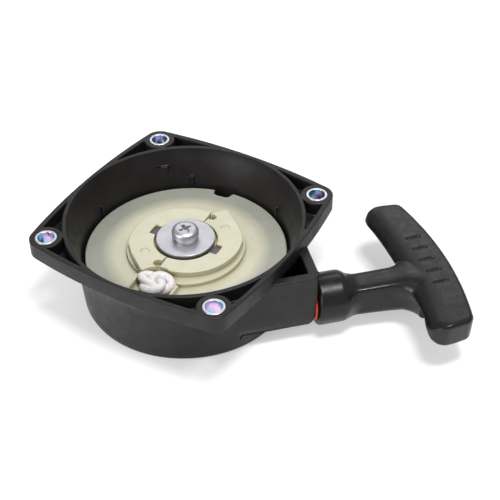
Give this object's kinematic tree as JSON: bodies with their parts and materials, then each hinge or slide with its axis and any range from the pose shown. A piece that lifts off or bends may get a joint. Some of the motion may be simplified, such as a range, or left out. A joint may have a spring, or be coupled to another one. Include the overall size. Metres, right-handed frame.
{
  "type": "recoil starter",
  "caption": "Recoil starter: flanged bowl housing, sprung rope reel on a centre post, rope outlet and T-shaped pull handle.",
  "frame": {"origin": "centre of the bolt circle on the mounting face", "axes": "+Z out of the open side towards the engine, +X the way the handle is pulled"},
  "size_m": [0.1653, 0.1389, 0.0397],
  "materials": {
    "housing_plastic": "glass-filled black nylon, satin",
    "handle_plastic": "smooth black nylon, semi-gloss",
    "reel_nylon": "natural translucent nylon",
    "zinc_steel": "zinc plated",
    "spring_steel": "blued strip",
    "brass": "plain brass",
    "guide_red": "moulded red",
    "plate_dark": "satin",
    "rope": "braided white cord"
  },
  "bodies": {
    "housing": {"housing": "housing_plastic", "flange_bushing_1": "zinc_steel", "flange_bushing_2": "zinc_steel", "flange_bushing_3": "zinc_steel", "flange_bushing_4": "zinc_steel", "rope_guide": "guide_red", "threaded_insert": "brass", "spring_case": "zinc_steel", "spring_cover": "zinc_steel", "recoil_spring": "spring_steel", "retaining_washer": "zinc_steel", "spring_washer": "zinc_steel", "retaining_screw": "zinc_steel"},
    "reel": {"reel": "reel_nylon", "thrust_plate": "plate_dark", "rope_coil": "rope", "reel_knot": "rope"},
    "rope_end": {"rope_lead": "rope", "handle_knot": "rope"},
    "handle": {"knot_washer": "zinc_steel", "pull_handle": "handle_plastic"}
  },
  "joints": [
    {"name": "handle_pull", "type": "slide", "parent": "housing", "child": "rope_end", "axis": [1, 0, 0], "range_m": [0, 0.65], "stiffness_N_per_m": 10, "springref_m": -0.25, "deforming": ["rope_lead"]},
    {"name": "reel_spin", "type": "hinge", "parent": "housing", "child": "reel", "pos_m": [0, 0, 0], "axis": [0, 0, 1], "range_deg": [0, 1336], "deforming": ["rope_coil", "recoil_spring"]},
    {"name": "handle_twist", "type": "hinge", "parent": "rope_end", "child": "handle", "pos_m": [0.05, -0.0363, -0.0249], "axis": [1, 0, 0], "range_deg": [-90, 90]}
  ],
  "couplings": [
    {"joint": "reel_spin", "follows": "handle_pull", "rad_per_m": 35.5}
  ]
}
